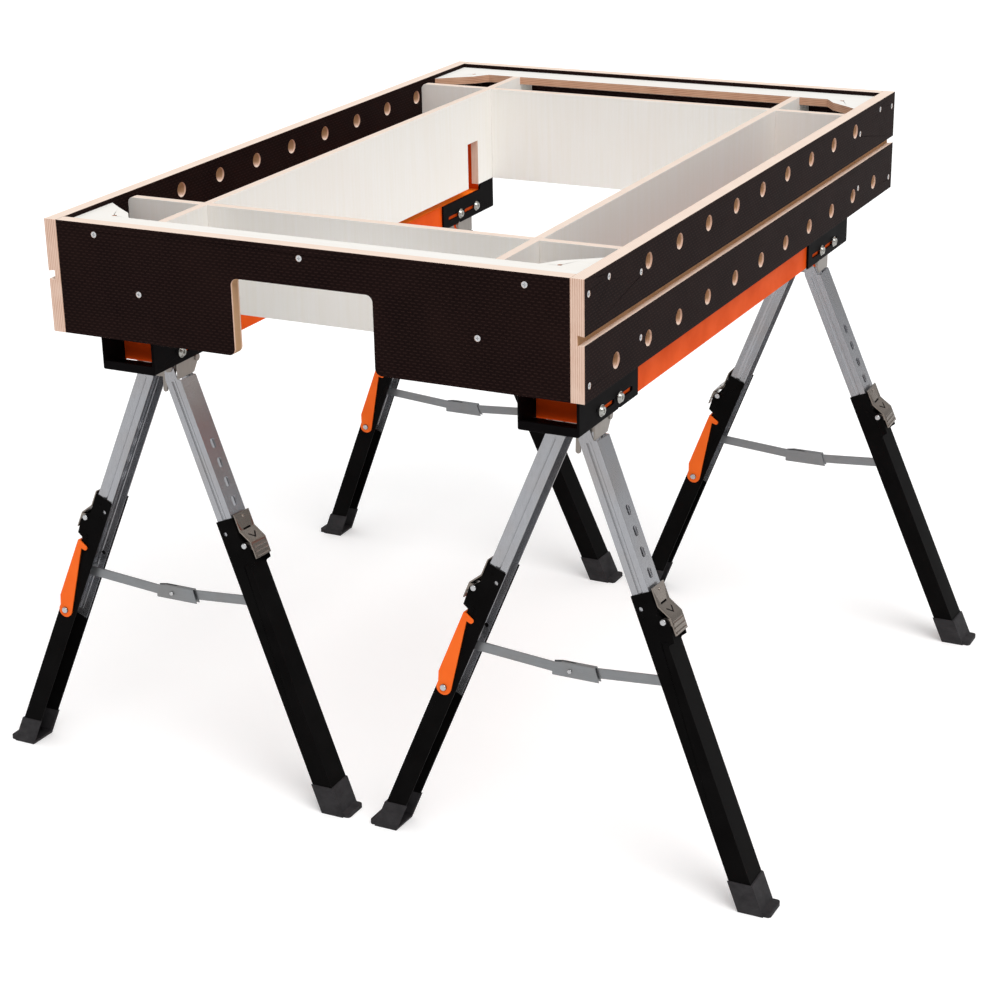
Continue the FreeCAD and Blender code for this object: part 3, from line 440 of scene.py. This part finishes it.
@dataclass(frozen=True)
class PowderCoat(Finish):
    """Powder coat baked on steel: to the eye one even colour, half gloss, with a skin like
    orange peel. Where given, its end faces carry a deeper tone of painted shade and its top
    faces a lighter tone of painted light."""

    colour: str = "#ff6a20"
    shade: str = "#f25c14"
    roughness: Pair = (0.3, 0.42)
    peel: float = 1.3
    specular: float = 0.3
    painted_shade_end: str = ""
    painted_light_top: str = ""
    square: float = 0.8
    cloud_size: float = 45.0
    cloud: Range = (0.35, 0.65, 0.0, 1.0)
    speck_size: float = 0.9
    speck: Range = (0.55, 0.85, 0.0, 0.25)
    gloss_from: Pair = (0.3, 0.7)
    skin_strength: float = 0.3
    skin_height: float = 0.05

    def coat(self, tree: bpy.types.NodeTree) -> bpy.types.NodeSocket:
        """Make the coat's shader: two close tones under a finely dimpled skin."""
        cloud = put(tree, "TexNoise", CLOUDY | {"Vector": sized(tree, self.cloud_size)})
        speck = put(tree, "TexNoise", PLAIN | {"Vector": sized(tree, self.speck_size)})
        skin = put(tree, "TexNoise", DIMPLED | {"Vector": sized(tree, self.peel)})
        colour = linear(self.colour)
        for pattern, reach in ((cloud, self.cloud), (speck, self.speck)):
            share = put(tree, "MapRange", (pattern, *reach))
            colour = put(tree, "Mix", {SHARE: share, COLOUR_A: colour,
                                       COLOUR_B: linear(self.shade)}, **COLOUR_MIX)
        # Painted shade on the end faces and painted light on the top faces, picked by facing.
        for tone, axis in ((self.painted_shade_end, Axis.Y), (self.painted_light_top, Axis.Z)):
            if tone:
                normal = component(tree, axis, "Normal")
                square = put(tree, "Math", (normal,), operation="ABSOLUTE")
                facing = put(tree, "Math", (square, self.square), operation="GREATER_THAN")
                colour = put(tree, "Mix", {SHARE: facing, COLOUR_A: colour,
                                           COLOUR_B: linear(tone)}, **COLOUR_MIX)
        rough = put(tree, "MapRange", (cloud, *self.gloss_from, *self.roughness))
        normal = put(tree, "Bump", {"Strength": self.skin_strength,
                                    "Distance": self.skin_height * MM, "Height": skin})
        return put(tree, "BsdfPrincipled",
                   {"Base Color": colour, "Roughness": rough, "IOR": RESIN_IOR,
                    "Specular IOR Level": self.specular, "Normal": normal})

    def surface(self, tree: bpy.types.NodeTree) -> bpy.types.NodeSocket:
        """Coat the whole part."""
        return self.coat(tree)


@dataclass(frozen=True)
class LegCoat(PowderCoat):
    """Black powder-coated leg that ends in a moulded rubber foot, dull and faintly dusty."""

    foot_top: float = 39.02
    rubber: str = "#232123"
    dust_tone: str = "#343234"
    dust_size: Triple = (18.0, 18.0, 12.0)
    dust: Range = (0.35, 0.75, 0.0, 1.0)
    grain_size: float = 1.6
    rubber_roughness: Range = (0.2, 0.8, 0.62, 0.82)
    rubber_specular: float = 0.25
    grain_strength: float = 0.5
    grain_height: float = 0.25

    def surface(self, tree: bpy.types.NodeTree) -> bpy.types.NodeSocket:
        """Rubber below the foot's rim and powder coat above it."""
        grain = put(tree, "TexNoise", GRITTY | {"Vector": sized(tree, self.grain_size)})
        dust = put(tree, "TexNoise", FIBROUS | {"Vector": sized(tree, *self.dust_size)})
        share = put(tree, "MapRange", (dust, *self.dust))
        colour = put(tree, "Mix", {SHARE: share, COLOUR_A: linear(self.rubber),
                                   COLOUR_B: linear(self.dust_tone)}, **COLOUR_MIX)
        normal = put(tree, "Bump", {"Strength": self.grain_strength,
                                    "Distance": self.grain_height * MM, "Height": grain})
        rough = put(tree, "MapRange", (grain, *self.rubber_roughness))
        foot = put(tree, "BsdfPrincipled",
                   {"Base Color": colour, "Roughness": rough, "IOR": RUBBER_IOR,
                    "Specular IOR Level": self.rubber_specular, "Normal": normal})
        above = put(tree, "Math", (component(tree, Axis.Z), self.foot_top * MM),
                    operation="GREATER_THAN")
        return put(tree, "MixShader", (above, foot, self.coat(tree)))


@dataclass(frozen=True)
class ZincSteel(Finish):
    """Zinc-coated steel: to the eye a soft grey shine with long draw lines, and crystals so
    faint that only the shine breaks over them. Its dull skin scatters a little of the light.

    Spangle is the size of a crystal, and draw the size of a draw line along X, Y and Z.
    """

    light: str = "#c9ccd0"
    dark: str = "#9da2a8"
    tint: str = "#b7aca4"
    spangle: float = 7.0
    roughness: Pair = (0.26, 0.42)
    draw: Triple = (1.2, 1.2, 60.0)
    metallic: float = 0.85
    cloud_size: float = 70.0
    flake: Range = (0.0, 1.0, 0.0, 0.08)
    line: Range = (0.4, 0.75, 0.0, 0.22)
    cloud: Range = (0.45, 0.75, 0.0, 0.4)
    line_share: float = 0.85
    shine_from: Pair = (0.2, 0.8)
    line_strength: float = 0.12
    line_height: float = 0.02

    def surface(self, tree: bpy.types.NodeTree) -> bpy.types.NodeSocket:
        """Broken grey crystals under long draw lines."""
        cell = put(tree, "TexVoronoi", PLAIN | {"Vector": sized(tree, self.spangle)}, "Color")
        flake = put(tree, "SeparateColor", (cell,))
        line = put(tree, "TexNoise", FIBROUS | {"Vector": sized(tree, *self.draw)})
        cloud = put(tree, "TexNoise", CLOUDY | {"Vector": sized(tree, self.cloud_size)})
        colour = linear(self.light)
        for pattern, reach, tone in ((flake, self.flake, self.dark),
                                     (line, self.line, self.dark),
                                     (cloud, self.cloud, self.tint)):
            share = put(tree, "MapRange", (pattern, *reach))
            colour = put(tree, "Mix", {SHARE: share, COLOUR_A: colour, COLOUR_B: linear(tone)},
                         **COLOUR_MIX)
        uneven = put(tree, "Mix", {SHARE: self.line_share, NUMBER_A: flake, NUMBER_B: line})
        rough = put(tree, "MapRange", (uneven, *self.shine_from, *self.roughness))
        normal = put(tree, "Bump", {"Strength": self.line_strength,
                                    "Distance": self.line_height * MM, "Height": line})
        return put(tree, "BsdfPrincipled", {"Base Color": colour, "Metallic": self.metallic,
                                            "Roughness": rough, "Normal": normal})


@dataclass(frozen=True)
class Softening:
    """Small radius that cutting, bending and coating leave on an edge.

    It takes the edges that turn by more than the angle, in degrees, once points closer than
    join are one.
    """

    width: float
    segments: int = 2
    angle: float = 32.0
    join: float = 0.002
    face_weight: int = 100

    def apply(self, piece: bpy.types.Object) -> None:
        """Join the loose triangles and round the sharp edges.

        Args:
            piece: Part whose edges are softened.
        """
        weld = piece.modifiers.new("weld", "WELD")
        weld.merge_threshold = self.join * MM
        bevel = piece.modifiers.new("edge", "BEVEL")
        bevel.limit_method = "ANGLE"
        bevel.angle_limit = math.radians(self.angle)
        bevel.width = self.width * MM
        bevel.segments = self.segments
        bevel.use_clamp_overlap = False
        bevel.miter_outer = "MITER_ARC"
        weight = piece.modifiers.new("normals", "WEIGHTED_NORMAL")
        weight.keep_sharp = False
        weight.weight = self.face_weight
        piece.data.shade_smooth()


SAW_CUT = Softening(0.5)
BEND = Softening(0.35)
BLANKED = Softening(0.18)
HEADED = Softening(0.12)


@dataclass
class Dresser:
    """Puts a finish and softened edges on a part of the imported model."""

    nodes: dict[str, bpy.types.Object]
    made: dict[str, bpy.types.Material] = field(default_factory=dict)

    def finish(self, finish: Finish) -> bpy.types.Material:
        """Give the material of a finish, made once."""
        if finish.name not in self.made:
            self.made[finish.name] = finish.build()
        return self.made[finish.name]

    def dress(self, node: str, finish: Finish, softening: Softening) -> None:
        """Dress one part.

        Args:
            node: Name of the part.
            finish: Its finish.
            softening: How its edges are rounded.
        """
        piece = self.nodes[node]
        piece.data.materials.clear()
        piece.data.materials.append(self.finish(finish))
        softening.apply(piece)
        log.info("dressed %s in %s", node, finish.name)


@dataclass
class PlywoodFrame:
    """Open plywood frame: film-faced side and end panels around bare birch dividers."""

    centre_x: float = -20.0
    half_width: float = 374.0
    half_length: float = 569.0
    panel: float = 18.0
    panel_layers: int = 13
    divider: float = 12.0
    divider_layers: int = 9
    long_divider_x: float = 237.5
    cross_divider_y: float = 407.0

    def panel_finishes(self) -> tuple[Finish, Finish]:
        """Give the finishes of the side panels and of the end panels."""
        inset = self.panel / 2
        side = FilmFacedPly("film_faced_ply_side", Axis.X, self.centre_x,
                            self.half_width - inset, self.panel, self.panel_layers,
                            along=Axis.Y)
        end = FilmFacedPly("film_faced_ply_end", Axis.Y, 0.0, self.half_length - inset,
                           self.panel, self.panel_layers, along=Axis.X)
        return side, end

    def divider_finishes(self, rail_box: tuple[Vector, Vector]) -> tuple[Finish, Finish, Finish]:
        """Give the finishes of the long dividers, the cross dividers and the rails.

        Args:
            rail_box: Lowest and highest corner of a rail, in metres.

        Returns:
            The three finishes.
        """
        along = BirchPly("sanded_birch_ply_long", Axis.X, self.centre_x, self.long_divider_x,
                         self.divider, self.divider_layers)
        across = BirchPly("sanded_birch_ply_cross", Axis.Y, 0.0, self.cross_divider_y,
                          self.divider, self.divider_layers)
        height = (rail_box[0].z + rail_box[1].z) / 2 / MM
        rail = BirchPly("sanded_birch_ply_rail", Axis.Z, 0.0, height, self.divider,
                        self.divider_layers, mirrored=False, edge_dark="#a8694a",
                        edge_light="#dcae90", streak_size=(14.0, 14.0, 0.7), grain=Axis.X)
        return along, across, rail

    def build(self, dresser: Dresser) -> None:
        """Dress the frame."""
        side, end = self.panel_finishes()
        along, across, rail = self.divider_finishes(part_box("top_rail_front"))
        boards = (
            (side, ("side_panel_east", "side_panel_west")),
            (end, ("end_panel_front", "end_panel_rear")),
            (along, ("long_divider_east", "long_divider_west")),
            (across, ("cross_divider_front", "cross_divider_rear")),
            (rail, ("top_rail_front", "top_rail_rear")),
        )
        for finish, nodes in boards:
            for node in nodes:
                dresser.dress(node, finish, SAW_CUT)
        dresser.dress("panel_screws", SCREW_STEEL, HEADED)


@dataclass(frozen=True)
class Rivet:
    """One domed head in a leg's own frame: where its seat is, and how wide and high it is.

    Towards is -1 for a head on the leg's front and 1 for one on its back.
    """

    out: float
    depth: float
    down: float
    radius: float
    rise: float
    towards: float = -1.0


@dataclass
class LegFrame:
    """A leg's own frame: out from the other leg, back from its front face, and up the leg.

    The pivot is the leg's top, seen from the stand's middle; lean and splay are in radians.
    """

    middle_x: float
    east: bool
    front: bool
    pivot: Triple = (15.5, -418.6, 587.0)
    middle_y: float = -67.0
    lean: float = 0.3874126
    splay: float = 0.0642116

    def matrix(self) -> Matrix:
        """Give the turn and the move from the leg's frame to the bench's, in metres."""
        side = Matrix.Diagonal((1.0 if self.east else -1.0, 1.0 if self.front else -1.0, 1.0, 1.0))
        turn = Matrix.Rotation(-self.splay, 4, "X") @ Matrix.Rotation(-self.lean, 4, "Y")
        stand = Matrix.Translation((self.middle_x, self.middle_y, 0.0))
        return Matrix.Scale(MM, 4) @ stand @ side @ Matrix.Translation(self.pivot) @ turn


def hand_over(name: str, shape: bmesh.types.BMesh, material: bpy.types.Material, body: str) -> None:
    """Turn a finished shape into a piece that rides on a body.

    Args:
        name: Name of the piece.
        shape: Its mesh in the making, in metres; it is freed here.
        material: Its finish.
        body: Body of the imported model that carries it.
    """
    bmesh.ops.recalc_face_normals(shape, faces=shape.faces)
    mesh = bpy.data.meshes.new(name)
    shape.to_mesh(mesh)
    shape.free()
    mesh.materials.append(material)
    piece = bpy.data.objects.new(name, mesh)
    bpy.context.scene.collection.objects.link(piece)
    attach(piece, body)
    log.info("made %s", name)


@dataclass
class RivetHeads:
    """Bright domed heads of the pins and the studs that ride on one body."""

    name: str
    body: str
    frame: Matrix
    heads: tuple[Rivet, ...]
    sides: int = 28
    crown_share: float = 0.9
    crown_steps: int = 4

    def add_head(self, shape: bmesh.types.BMesh, head: Rivet) -> None:
        """Turn one head as a short rod with a rounded crown. It is made on its own before it
        joins the others, so that its mesh comes out the same in every run.

        Args:
            shape: Mesh in the making that takes it.
            head: Its place and size.
        """
        rod = bmesh.new()
        turn = Matrix.Rotation(math.radians(90.0 * -head.towards), 4, "X")
        middle = (head.out, head.depth + head.towards * head.rise / 2, -head.down)
        made = bmesh.ops.create_cone(rod, cap_ends=True, segments=self.sides,
                                     radius1=head.radius, radius2=head.radius, depth=head.rise,
                                     matrix=Matrix.Translation(middle) @ turn)
        crown_height = head.rise * self.crown_share
        crown = [edge for vert in made["verts"] for edge in vert.link_edges
                 if all((end.co.y - head.depth) * head.towards > crown_height
                        for end in edge.verts)]
        # Each edge is found from both its ends; a dict keeps one of each, always in one order.
        bmesh.ops.bevel(rod, geom=list(dict.fromkeys(crown)), offset=crown_height,
                        segments=self.crown_steps, profile=0.5, affect="EDGES", material=-1)
        mesh = bpy.data.meshes.new(self.name)
        rod.to_mesh(mesh)
        rod.free()
        shape.from_mesh(mesh)
        bpy.data.meshes.remove(mesh)

    def build(self, material: bpy.types.Material) -> None:
        """Make the heads as one piece.

        Args:
            material: Finish of the heads.
        """
        shape = bmesh.new()
        for head in self.heads:
            self.add_head(shape, head)
        bmesh.ops.transform(shape, matrix=self.frame, verts=shape.verts)
        for face in shape.faces:
            face.smooth = True
        hand_over(self.name, shape, material, self.body)


@dataclass
class ArrowGrooveShade:
    """Dark bars of painted shade fill the arrow cut in the slope of a latch; it points down the
    leg.

    Tip and slope are in the leg's frame, and the bars lie sunk below the slope.
    """

    name: str
    body: str
    frame: Matrix
    tip: Triple = (25.326, 20.0, -246.77)
    slope: Triple = (-0.51379, 0.0, 0.85792)
    length: float = 11.0
    width: float = 1.9
    thick: float = 0.5
    sunk: float = 0.05

    def build(self, material: bpy.types.Material) -> None:
        """Lay one bar of painted shade in each arm of the arrow.

        Args:
            material: Dark finish of the painted shade.
        """
        shape = bmesh.new()
        up = Vector(self.slope)
        out = Vector((up.z, 0.0, -up.x))
        below = out * (self.sunk + self.thick / 2)
        size = Matrix.Diagonal((self.length, self.width, self.thick, 1.0))
        for side in (-1.0, 1.0):
            along = (up + Vector((0.0, side, 0.0))).normalized()
            turn = Matrix((along, out.cross(along), out)).transposed().to_4x4()
            middle = Vector(self.tip) + along * self.length / 2 - below
            bmesh.ops.create_cube(shape, size=1.0, matrix=Matrix.Translation(middle) @ turn @ size)
        bmesh.ops.transform(shape, matrix=self.frame, verts=shape.verts)
        hand_over(self.name, shape, material, self.body)


SCREW_STEEL = ZincSteel("bright_zinc_screw_steel", "#d2d3d5", "#a5a7ab", "#bfb9b2", spangle=3.0,
                        roughness=(0.14, 0.24), draw=(0.8, 0.8, 0.8))
RIVET_STEEL = ZincSteel("bright_nickel_rivet_steel", "#c6c7c9", "#a1a3a6", "#b4aea9",
                        spangle=2.0, roughness=(0.12, 0.2), draw=(0.7, 0.7, 0.7))
# Near-black finish of the painted shade in the latches' arrow grooves.
ARROW_GROOVE_SHADE = PowderCoat("black_arrow_paint", "#151313", "#1d1b1a", roughness=(0.5, 0.6),
                         peel=1.1, specular=0.05)

# Finish and edge of each kind of part of a sawhorse.
SAWHORSE_LOOKS = {
    # Even orange of half gloss, with painted shade deepening the cut ends and painted light along
    # the top.
    "beam": (PowderCoat("orange_powder_coat", "#ef5b1a", "#e35216", roughness=(0.34, 0.46),
                        specular=0.02, painted_shade_end="#e34c10", painted_light_top="#ff7c22"), BEND),
    # Smooth and bright, a little warm, like button-head bolts.
    "beam_bolts": (ZincSteel("bright_zinc_bolt_steel", "#aeada8", "#888886", "#9b958c",
                             spangle=3.0, roughness=(0.16, 0.28), draw=(0.8, 0.8, 0.8)),
                   BLANKED),
    # Nearly matt black.
    "bracket": (PowderCoat("black_powder_coat", "#0b090a", "#100e0f", roughness=(0.4, 0.5),
                           peel=1.1, specular=0.015), BEND),
    # Warm grey with the broadest crystals.
    "leg_head": (ZincSteel("galvanised_head_steel", "#98928c", "#77726e", "#8f8278",
                           spangle=9.0), BLANKED),
    # Brighter orange than the beam, and glossier.
    "arm": (PowderCoat("orange_arm_powder_coat", "#ff7024", "#fa681c", roughness=(0.32, 0.44),
                       specular=0.12), BLANKED),
    # Cool grey, drawn smooth along the leg.
    "upper_leg": (ZincSteel("galvanised_leg_steel", "#adaeb2", "#8b8d93", "#a29992",
                            spangle=8.0, roughness=(0.2, 0.28)), BLANKED),
    # Black with a soft sheen, above its rubber foot.
    "lower_leg": (LegCoat("black_powder_coated_leg", "#090808", "#0e0d0d",
                          roughness=(0.38, 0.5), peel=1.1, specular=0.02), BEND),
    # Grey plating that mirrors softly; its brown cast is a painted reflection of the orange beam.
    "latch": (ZincSteel("zinc_plated_latch_steel", "#8d847c", "#6c655d", "#7f7368",
                        spangle=4.0, roughness=(0.14, 0.24), draw=(2.0, 2.0, 2.0)), BLANKED),
    # Dull grey strip, rolled along its length.
    "brace": (ZincSteel("galvanised_strip_steel", "#8f9193", "#77797c", "#857e78",
                        spangle=6.0, roughness=(0.3, 0.46), draw=(40.0, 1.2, 1.2)), BLANKED),
}


@dataclass
class Sawhorse:
    """Folding steel sawhorse: an orange beam, two sliding brackets and four legs."""

    name: str
    middle_x: float
    latch_pins: tuple[Rivet, ...] = (Rivet(18.2, -1.8, 253.0, 4.0, 1.6),
                                     Rivet(18.2, 41.8, 253.0, 4.0, 1.6, 1.0))
    arm_pins: tuple[Rivet, ...] = (Rivet(2.6, -4.4, 399.3, 4.4, 1.5),
                                   Rivet(2.6, 44.4, 399.3, 4.4, 1.5, 1.0))
    cover_pin: Rivet = Rivet(-15.5, 11.7, 320.27, 3.0, 1.1)

    def dress(self, dresser: Dresser, owner: str, kinds: tuple[str, ...]) -> None:
        """Dress some parts that share the first words of their names.

        Args:
            dresser: Dresser that keeps the finishes.
            owner: Those first words.
            kinds: The kinds of parts.
        """
        for kind in kinds:
            dresser.dress(owner + "_" + kind, *SAWHORSE_LOOKS[kind])

    def build(self, dresser: Dresser) -> None:
        """Dress the sawhorse."""
        self.dress(dresser, self.name, ("beam", "beam_bolts"))
        for end in ("front", "rear"):
            pair = self.name + "_" + end
            self.dress(dresser, pair, ("bracket", "leg_head", "arm"))
            for side in ("west", "east"):
                leg = pair + "_" + side
                self.dress(dresser, leg, ("upper_leg", "lower_leg", "latch", "brace"))
                self.add_rivets(dresser, leg, side == "east", end == "front")

    def add_rivets(self, dresser: Dresser, leg: str, east: bool, front: bool) -> None:
        """Put the bright heads and the dark bars of painted shade in the arrow groove on one leg. A
        west leg also carries a support arm and the cover of its brace, with a pin in each.

        Args:
            dresser: Dresser that keeps the finishes.
            leg: First words of the leg's names.
            east: If it is the east leg of its pair.
            front: If its pair is the front one.
        """
        frame = LegFrame(self.middle_x, east, front).matrix()
        steel = dresser.finish(RIVET_STEEL)
        heads = self.latch_pins if east else self.latch_pins + self.arm_pins
        RivetHeads(leg + "_rivets", leg + "_lower_leg", frame, heads).build(steel)
        # Dark bars of painted shade in the latch's arrow groove.
        ArrowGrooveShade(leg + "_arrow", leg + "_latch", frame).build(dresser.finish(ARROW_GROOVE_SHADE))
        if not east:
            upright = LegFrame(self.middle_x, east, front, lean=0.0).matrix()
            RivetHeads(leg + "_brace_rivet", leg + "_brace", upright,
                       (self.cover_pin,)).build(steel)


@dataclass(frozen=True)
class PaperSweep(Finish):
    """White paper that shows as white to the camera and keeps the object's shadow."""

    grain_size: float = 25.0
    dark: str = "#f1f1f1"
    light: str = "#f3f3f3"
    glow: float = 0.24

    def surface(self, tree: bpy.types.NodeTree) -> bpy.types.NodeSocket:
        """Matt paper, lifted for the camera alone."""
        grain = put(tree, "TexNoise", PLAIN | {"Vector": sized(tree, self.grain_size)})
        tone = put(tree, "Mix", {SHARE: grain, COLOUR_A: linear(self.dark),
                                 COLOUR_B: linear(self.light)}, **COLOUR_MIX)
        paper = put(tree, "BsdfDiffuse", {"Color": tone})
        camera = put(tree, "LightPath", out="Is Camera Ray")
        share = put(tree, "Math", (camera, self.glow), operation="MULTIPLY")
        white = put(tree, "Emission", {"Color": WHITE, "Strength": share})
        return put(tree, "AddShader", (paper, white))


@dataclass
class Studio:
    """White studio: one seamless sweep, a soft sky and a broad main light.

    The light stands in direction sun_towards; its strength is in watts a square metre and
    its spread in degrees.
    """

    floor_size: float = 30.0
    sky: Range = (0.0, 0.9, 0.32, 0.8)
    sun_towards: Triple = (0.6, -0.42, 1.0)
    sun_strength: float = 1.7
    sun_spread: float = 40.0

    def add_world(self) -> None:
        """White to the camera, and a pale sky that brightens upwards for the rest."""
        world = bpy.data.worlds.new("studio_world")
        bpy.context.scene.world = world
        world.use_nodes = True
        tree = world.node_tree
        tree.nodes.clear()
        camera = put(tree, "LightPath", out="Is Camera Ray")
        lift = put(tree, "MapRange", (component(tree, Axis.Z, "Generated"), *self.sky))
        sky = put(tree, "Background", {"Color": WHITE, "Strength": lift})
        white = put(tree, "Background", {"Color": WHITE, "Strength": 1.0})
        output = tree.nodes.new("ShaderNodeOutputWorld")
        tree.links.new(put(tree, "MixShader", (camera, sky, white)), output.inputs["Surface"])

    def add_sun(self) -> None:
        """Add the broad main light."""
        light = bpy.data.lights.new("main_light", "SUN")
        light.energy = self.sun_strength
        light.angle = math.radians(self.sun_spread)
        lamp = bpy.data.objects.new("main_light", light)
        lamp.matrix_world = Vector(self.sun_towards).to_track_quat("Z", "Y").to_matrix().to_4x4()
        bpy.context.scene.collection.objects.link(lamp)

    def add_floor(self) -> None:
        """Lay the sweep under the bench."""
        mesh = bpy.data.meshes.new("sweep")
        shape = bmesh.new()
        bmesh.ops.create_grid(shape, x_segments=1, y_segments=1, size=self.floor_size / 2)
        shape.to_mesh(mesh)
        shape.free()
        mesh.materials.append(PaperSweep("white_paper_sweep").build())
        floor = bpy.data.objects.new("sweep", mesh)
        bpy.context.scene.collection.objects.link(floor)

    def build(self) -> None:
        """Build the sweep, the world and the light."""
        self.add_floor()
        self.add_world()
        self.add_sun()


@dataclass
class PhotoCamera:
    """Camera at the photograph's place, fitted to the bench's corners and holes.

    Place and reach are in metres, the turn in degrees, and the shift in widths of the picture.
    """

    place: Triple = (1.391019, -2.832715, 1.494197)
    turn: Triple = (67.830818, 1.465796, 27.557918)
    lens: float = 82.58086
    sensor: float = 36.0
    shift: Pair = (0.0460049, 0.0425407)
    reach: float = 100.0

    def build(self) -> None:
        """Make the camera and hand it to the scene."""
        data = bpy.data.cameras.new("photo_camera")
        data.lens = self.lens
        data.sensor_width = self.sensor
        data.shift_x, data.shift_y = self.shift
        data.clip_end = self.reach
        camera = bpy.data.objects.new("photo_camera", data)
        camera.location = self.place
        camera.rotation_euler = [math.radians(angle) for angle in self.turn]
        bpy.context.scene.collection.objects.link(camera)
        bpy.context.scene.camera = camera


def main() -> None:
    """Build the classes in order and report each piece."""
    logging.basicConfig(level=logging.INFO, format="%(name)s: %(message)s")
    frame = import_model()
    bpy.context.scene.view_settings.view_transform = "Standard"
    PhotoCamera().build()
    dresser = Dresser(frame["nodes"])
    PlywoodFrame().build(dresser)
    for sawhorse in (Sawhorse("west", -297.0), Sawhorse("east", 297.0)):
        sawhorse.build(dresser)
    Studio().build()


if __name__ == "__main__":
    main()
